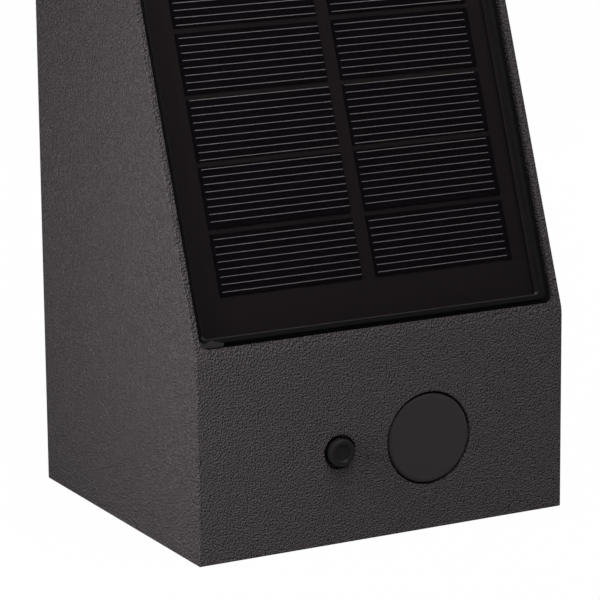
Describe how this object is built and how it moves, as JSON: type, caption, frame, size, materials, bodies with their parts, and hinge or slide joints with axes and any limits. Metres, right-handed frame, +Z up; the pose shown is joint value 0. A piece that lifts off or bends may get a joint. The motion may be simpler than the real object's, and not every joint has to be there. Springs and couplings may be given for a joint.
{
  "type": "solar wall light",
  "caption": "Wedge-shaped outdoor wall light with a sloping solar panel, a push button and a flat motion sensor window in its front, and an opal light in its underside.",
  "frame": {"origin": "on the wall plane, midway between the two wall screw holes of the bracket", "axes": "+X right seen from the front, +Y into the wall, +Z up"},
  "size_m": [0.1, 0.0875, 0.165],
  "materials": {
    "powder_coat": "coarse textured powder coat on die-cast aluminium, anthracite",
    "panel_glass": "clear float glass",
    "silicon": "blue-black coated silicon with fine printed fingers",
    "panel_board": "black laminate",
    "sealant": "black silicone, cured",
    "tape": "black foam tape",
    "potting": "black potting resin",
    "lead": "black sheathed lead",
    "sensor_window": "satin infrared-passing polyethylene",
    "button": "semi-gloss moulded silicone",
    "seal": "matt silicone",
    "black_plastic": "moulded ABS",
    "white_plastic": "white moulded ABS",
    "opal": "opal polycarbonate",
    "circuit_board": "green solder mask",
    "component": "black moulded package",
    "white_board": "white solder mask on a metal core",
    "phosphor": "yellow phosphor in clear silicone",
    "metal_can": "nickel plated",
    "battery_wrap": "blue shrink sleeve",
    "spring_metal": "nickel plated spring strip",
    "zinc_steel": "bright zinc plate on steel",
    "black_screw": "black oxide on stainless steel"
  },
  "bodies": {
    "lamp": {"housing": "powder_coat", "solar_glass": "panel_glass", "solar_cells": "silicon", "solar_backboard": "panel_board", "panel_tape": "tape", "panel_sealant": "sealant", "panel_terminal": "potting", "panel_lead": "lead", "sensor_window": "sensor_window", "window_seal": "seal", "sensor_shroud": "black_plastic", "pir_sensor": "metal_can", "button_seal": "seal", "switch_body": "component", "control_board": "circuit_board", "board_components": "component", "board_headers": "white_plastic", "lead_plugs": "white_plastic", "board_screws": "zinc_steel", "battery_cell": "battery_wrap", "battery_holder": "black_plastic", "battery_contacts": "spring_metal", "holder_screws": "zinc_steel", "battery_lead": "lead", "led_board": "white_board", "led_chips": "phosphor", "led_tray": "white_plastic", "led_screws": "zinc_steel", "tray_screws": "zinc_steel", "led_lead": "lead", "diffuser": "opal", "diffuser_seal": "seal", "back_cover": "black_plastic", "back_seal": "seal", "cover_screws": "zinc_steel", "wall_bracket": "zinc_steel", "lock_screw": "black_screw"},
    "button": {"mode_button": "button", "switch_plunger": "black_plastic"}
  },
  "joints": [
    {"name": "button_press", "type": "slide", "parent": "lamp", "child": "button", "axis": [0, 1, 0], "range_m": [0, 0.0008], "stiffness_N_per_m": 1500, "springref_m": -0.0004}
  ]
}
